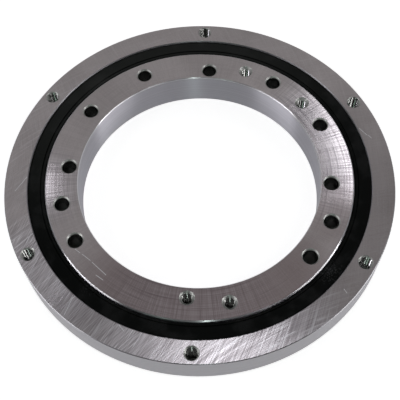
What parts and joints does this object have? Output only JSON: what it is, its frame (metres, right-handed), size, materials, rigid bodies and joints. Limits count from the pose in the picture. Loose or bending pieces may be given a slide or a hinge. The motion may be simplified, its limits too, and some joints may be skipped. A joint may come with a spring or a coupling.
{
  "type": "four-point contact slewing bearing",
  "caption": "Thin four-point contact slewing bearing: tapped outer ring, bolted inner ring, caged balls between and a black lip seal over each side of the gap.",
  "frame": {"origin": "on the turning axis, in the plane of the inner ring's lower face", "axes": "+Z along the turning axis, up through the bearing; +Y through one tapped hole of the outer ring"},
  "size_m": [0.28, 0.28, 0.028],
  "materials": {
    "outer_ring_steel": "turned and ground, crossed grinding marks on the faces, smooth rim",
    "inner_ring_steel": "turned and ground, crossed grinding marks on the faces, fine-turned bore",
    "seal_rubber": "black nitrile rubber, satin, lightly greased",
    "cage_polyamide": "natural moulded polyamide",
    "ball_steel": "polished bearing steel",
    "plug_steel": "ground flush with the outer ring's rim",
    "pin_steel": "drawn steel, driven flush and dressed off"
  },
  "bodies": {
    "inner": {"inner_ring": "inner_ring_steel"},
    "outer": {"outer_ring": "outer_ring_steel", "fill_plug": "plug_steel", "plug_taper_pin": "pin_steel", "upper_seal": "seal_rubber", "lower_seal": "seal_rubber"},
    "cage": {"ball_cage": "cage_polyamide"},
    "rolling_ball_01": {"ball_01": "ball_steel"},
    "rolling_ball_02": {"ball_02": "ball_steel"},
    "rolling_ball_03": {"ball_03": "ball_steel"},
    "rolling_ball_04": {"ball_04": "ball_steel"},
    "rolling_ball_05": {"ball_05": "ball_steel"},
    "rolling_ball_06": {"ball_06": "ball_steel"},
    "rolling_ball_07": {"ball_07": "ball_steel"},
    "rolling_ball_08": {"ball_08": "ball_steel"},
    "rolling_ball_09": {"ball_09": "ball_steel"},
    "rolling_ball_10": {"ball_10": "ball_steel"},
    "rolling_ball_11": {"ball_11": "ball_steel"},
    "rolling_ball_12": {"ball_12": "ball_steel"},
    "rolling_ball_13": {"ball_13": "ball_steel"},
    "rolling_ball_14": {"ball_14": "ball_steel"},
    "rolling_ball_15": {"ball_15": "ball_steel"},
    "rolling_ball_16": {"ball_16": "ball_steel"},
    "rolling_ball_17": {"ball_17": "ball_steel"},
    "rolling_ball_18": {"ball_18": "ball_steel"},
    "rolling_ball_19": {"ball_19": "ball_steel"},
    "rolling_ball_20": {"ball_20": "ball_steel"},
    "rolling_ball_21": {"ball_21": "ball_steel"},
    "rolling_ball_22": {"ball_22": "ball_steel"},
    "rolling_ball_23": {"ball_23": "ball_steel"},
    "rolling_ball_24": {"ball_24": "ball_steel"},
    "rolling_ball_25": {"ball_25": "ball_steel"},
    "rolling_ball_26": {"ball_26": "ball_steel"},
    "rolling_ball_27": {"ball_27": "ball_steel"},
    "rolling_ball_28": {"ball_28": "ball_steel"},
    "rolling_ball_29": {"ball_29": "ball_steel"},
    "rolling_ball_30": {"ball_30": "ball_steel"},
    "rolling_ball_31": {"ball_31": "ball_steel"},
    "rolling_ball_32": {"ball_32": "ball_steel"},
    "rolling_ball_33": {"ball_33": "ball_steel"},
    "rolling_ball_34": {"ball_34": "ball_steel"},
    "rolling_ball_35": {"ball_35": "ball_steel"},
    "rolling_ball_36": {"ball_36": "ball_steel"}
  },
  "joints": [
    {"name": "ring_turn", "type": "hinge", "parent": "inner", "child": "outer", "pos_m": [0, 0, 0.01475], "axis": [0, 0, 1], "continuous": true},
    {"name": "cage_orbit", "type": "hinge", "parent": "inner", "child": "cage", "pos_m": [0, 0, 0.01475], "axis": [0, 0, 1], "continuous": true},
    {"name": "ball_01_roll", "type": "hinge", "parent": "cage", "child": "rolling_ball_01", "pos_m": [0.1168, 0.01022, 0.01475], "axis": [0, 0, 1], "continuous": true},
    {"name": "ball_02_roll", "type": "hinge", "parent": "cage", "child": "rolling_ball_02", "pos_m": [0.11325, 0.03035, 0.01475], "axis": [0, 0, 1], "continuous": true},
    {"name": "ball_03_roll", "type": "hinge", "parent": "cage", "child": "rolling_ball_03", "pos_m": [0.10626, 0.04955, 0.01475], "axis": [0, 0, 1], "continuous": true},
    {"name": "ball_04_roll", "type": "hinge", "parent": "cage", "child": "rolling_ball_04", "pos_m": [0.09605, 0.06725, 0.01475], "axis": [0, 0, 1], "continuous": true},
    {"name": "ball_05_roll", "type": "hinge", "parent": "cage", "child": "rolling_ball_05", "pos_m": [0.08291, 0.08291, 0.01475], "axis": [0, 0, 1], "continuous": true},
    {"name": "ball_06_roll", "type": "hinge", "parent": "cage", "child": "rolling_ball_06", "pos_m": [0.06725, 0.09605, 0.01475], "axis": [0, 0, 1], "continuous": true},
    {"name": "ball_07_roll", "type": "hinge", "parent": "cage", "child": "rolling_ball_07", "pos_m": [0.04955, 0.10626, 0.01475], "axis": [0, 0, 1], "continuous": true},
    {"name": "ball_08_roll", "type": "hinge", "parent": "cage", "child": "rolling_ball_08", "pos_m": [0.03035, 0.11325, 0.01475], "axis": [0, 0, 1], "continuous": true},
    {"name": "ball_09_roll", "type": "hinge", "parent": "cage", "child": "rolling_ball_09", "pos_m": [0.01022, 0.1168, 0.01475], "axis": [0, 0, 1], "continuous": true},
    {"name": "ball_10_roll", "type": "hinge", "parent": "cage", "child": "rolling_ball_10", "pos_m": [-0.01022, 0.1168, 0.01475], "axis": [0, 0, 1], "continuous": true},
    {"name": "ball_11_roll", "type": "hinge", "parent": "cage", "child": "rolling_ball_11", "pos_m": [-0.03035, 0.11325, 0.01475], "axis": [0, 0, 1], "continuous": true},
    {"name": "ball_12_roll", "type": "hinge", "parent": "cage", "child": "rolling_ball_12", "pos_m": [-0.04955, 0.10626, 0.01475], "axis": [0, 0, 1], "continuous": true},
    {"name": "ball_13_roll", "type": "hinge", "parent": "cage", "child": "rolling_ball_13", "pos_m": [-0.06725, 0.09605, 0.01475], "axis": [0, 0, 1], "continuous": true},
    {"name": "ball_14_roll", "type": "hinge", "parent": "cage", "child": "rolling_ball_14", "pos_m": [-0.08291, 0.08291, 0.01475], "axis": [0, 0, 1], "continuous": true},
    {"name": "ball_15_roll", "type": "hinge", "parent": "cage", "child": "rolling_ball_15", "pos_m": [-0.09605, 0.06725, 0.01475], "axis": [0, 0, 1], "continuous": true},
    {"name": "ball_16_roll", "type": "hinge", "parent": "cage", "child": "rolling_ball_16", "pos_m": [-0.10626, 0.04955, 0.01475], "axis": [0, 0, 1], "continuous": true},
    {"name": "ball_17_roll", "type": "hinge", "parent": "cage", "child": "rolling_ball_17", "pos_m": [-0.11325, 0.03035, 0.01475], "axis": [0, 0, 1], "continuous": true},
    {"name": "ball_18_roll", "type": "hinge", "parent": "cage", "child": "rolling_ball_18", "pos_m": [-0.1168, 0.01022, 0.01475], "axis": [0, 0, 1], "continuous": true},
    {"name": "ball_19_roll", "type": "hinge", "parent": "cage", "child": "rolling_ball_19", "pos_m": [-0.1168, -0.01022, 0.01475], "axis": [0, 0, 1], "continuous": true},
    {"name": "ball_20_roll", "type": "hinge", "parent": "cage", "child": "rolling_ball_20", "pos_m": [-0.11325, -0.03035, 0.01475], "axis": [0, 0, 1], "continuous": true},
    {"name": "ball_21_roll", "type": "hinge", "parent": "cage", "child": "rolling_ball_21", "pos_m": [-0.10626, -0.04955, 0.01475], "axis": [0, 0, 1], "continuous": true},
    {"name": "ball_22_roll", "type": "hinge", "parent": "cage", "child": "rolling_ball_22", "pos_m": [-0.09605, -0.06725, 0.01475], "axis": [0, 0, 1], "continuous": true},
    {"name": "ball_23_roll", "type": "hinge", "parent": "cage", "child": "rolling_ball_23", "pos_m": [-0.08291, -0.08291, 0.01475], "axis": [0, 0, 1], "continuous": true},
    {"name": "ball_24_roll", "type": "hinge", "parent": "cage", "child": "rolling_ball_24", "pos_m": [-0.06725, -0.09605, 0.01475], "axis": [0, 0, 1], "continuous": true},
    {"name": "ball_25_roll", "type": "hinge", "parent": "cage", "child": "rolling_ball_25", "pos_m": [-0.04955, -0.10626, 0.01475], "axis": [0, 0, 1], "continuous": true},
    {"name": "ball_26_roll", "type": "hinge", "parent": "cage", "child": "rolling_ball_26", "pos_m": [-0.03035, -0.11325, 0.01475], "axis": [0, 0, 1], "continuous": true},
    {"name": "ball_27_roll", "type": "hinge", "parent": "cage", "child": "rolling_ball_27", "pos_m": [-0.01022, -0.1168, 0.01475], "axis": [0, 0, 1], "continuous": true},
    {"name": "ball_28_roll", "type": "hinge", "parent": "cage", "child": "rolling_ball_28", "pos_m": [0.01022, -0.1168, 0.01475], "axis": [0, 0, 1], "continuous": true},
    {"name": "ball_29_roll", "type": "hinge", "parent": "cage", "child": "rolling_ball_29", "pos_m": [0.03035, -0.11325, 0.01475], "axis": [0, 0, 1], "continuous": true},
    {"name": "ball_30_roll", "type": "hinge", "parent": "cage", "child": "rolling_ball_30", "pos_m": [0.04955, -0.10626, 0.01475], "axis": [0, 0, 1], "continuous": true},
    {"name": "ball_31_roll", "type": "hinge", "parent": "cage", "child": "rolling_ball_31", "pos_m": [0.06725, -0.09605, 0.01475], "axis": [0, 0, 1], "continuous": true},
    {"name": "ball_32_roll", "type": "hinge", "parent": "cage", "child": "rolling_ball_32", "pos_m": [0.08291, -0.08291, 0.01475], "axis": [0, 0, 1], "continuous": true},
    {"name": "ball_33_roll", "type": "hinge", "parent": "cage", "child": "rolling_ball_33", "pos_m": [0.09605, -0.06725, 0.01475], "axis": [0, 0, 1], "continuous": true},
    {"name": "ball_34_roll", "type": "hinge", "parent": "cage", "child": "rolling_ball_34", "pos_m": [0.10626, -0.04955, 0.01475], "axis": [0, 0, 1], "continuous": true},
    {"name": "ball_35_roll", "type": "hinge", "parent": "cage", "child": "rolling_ball_35", "pos_m": [0.11325, -0.03035, 0.01475], "axis": [0, 0, 1], "continuous": true},
    {"name": "ball_36_roll", "type": "hinge", "parent": "cage", "child": "rolling_ball_36", "pos_m": [0.1168, -0.01022, 0.01475], "axis": [0, 0, 1], "continuous": true}
  ],
  "couplings": [
    {"joint": "cage_orbit", "follows": "ring_turn", "ratio": 0.52111},
    {"joint": "ball_01_roll", "follows": "ring_turn", "ratio": 11.823},
    {"joint": "ball_02_roll", "follows": "ring_turn", "ratio": 11.823},
    {"joint": "ball_03_roll", "follows": "ring_turn", "ratio": 11.823},
    {"joint": "ball_04_roll", "follows": "ring_turn", "ratio": 11.823},
    {"joint": "ball_05_roll", "follows": "ring_turn", "ratio": 11.823},
    {"joint": "ball_06_roll", "follows": "ring_turn", "ratio": 11.823},
    {"joint": "ball_07_roll", "follows": "ring_turn", "ratio": 11.823},
    {"joint": "ball_08_roll", "follows": "ring_turn", "ratio": 11.823},
    {"joint": "ball_09_roll", "follows": "ring_turn", "ratio": 11.823},
    {"joint": "ball_10_roll", "follows": "ring_turn", "ratio": 11.823},
    {"joint": "ball_11_roll", "follows": "ring_turn", "ratio": 11.823},
    {"joint": "ball_12_roll", "follows": "ring_turn", "ratio": 11.823},
    {"joint": "ball_13_roll", "follows": "ring_turn", "ratio": 11.823},
    {"joint": "ball_14_roll", "follows": "ring_turn", "ratio": 11.823},
    {"joint": "ball_15_roll", "follows": "ring_turn", "ratio": 11.823},
    {"joint": "ball_16_roll", "follows": "ring_turn", "ratio": 11.823},
    {"joint": "ball_17_roll", "follows": "ring_turn", "ratio": 11.823},
    {"joint": "ball_18_roll", "follows": "ring_turn", "ratio": 11.823},
    {"joint": "ball_19_roll", "follows": "ring_turn", "ratio": 11.823},
    {"joint": "ball_20_roll", "follows": "ring_turn", "ratio": 11.823},
    {"joint": "ball_21_roll", "follows": "ring_turn", "ratio": 11.823},
    {"joint": "ball_22_roll", "follows": "ring_turn", "ratio": 11.823},
    {"joint": "ball_23_roll", "follows": "ring_turn", "ratio": 11.823},
    {"joint": "ball_24_roll", "follows": "ring_turn", "ratio": 11.823},
    {"joint": "ball_25_roll", "follows": "ring_turn", "ratio": 11.823},
    {"joint": "ball_26_roll", "follows": "ring_turn", "ratio": 11.823},
    {"joint": "ball_27_roll", "follows": "ring_turn", "ratio": 11.823},
    {"joint": "ball_28_roll", "follows": "ring_turn", "ratio": 11.823},
    {"joint": "ball_29_roll", "follows": "ring_turn", "ratio": 11.823},
    {"joint": "ball_30_roll", "follows": "ring_turn", "ratio": 11.823},
    {"joint": "ball_31_roll", "follows": "ring_turn", "ratio": 11.823},
    {"joint": "ball_32_roll", "follows": "ring_turn", "ratio": 11.823},
    {"joint": "ball_33_roll", "follows": "ring_turn", "ratio": 11.823},
    {"joint": "ball_34_roll", "follows": "ring_turn", "ratio": 11.823},
    {"joint": "ball_35_roll", "follows": "ring_turn", "ratio": 11.823},
    {"joint": "ball_36_roll", "follows": "ring_turn", "ratio": 11.823}
  ]
}
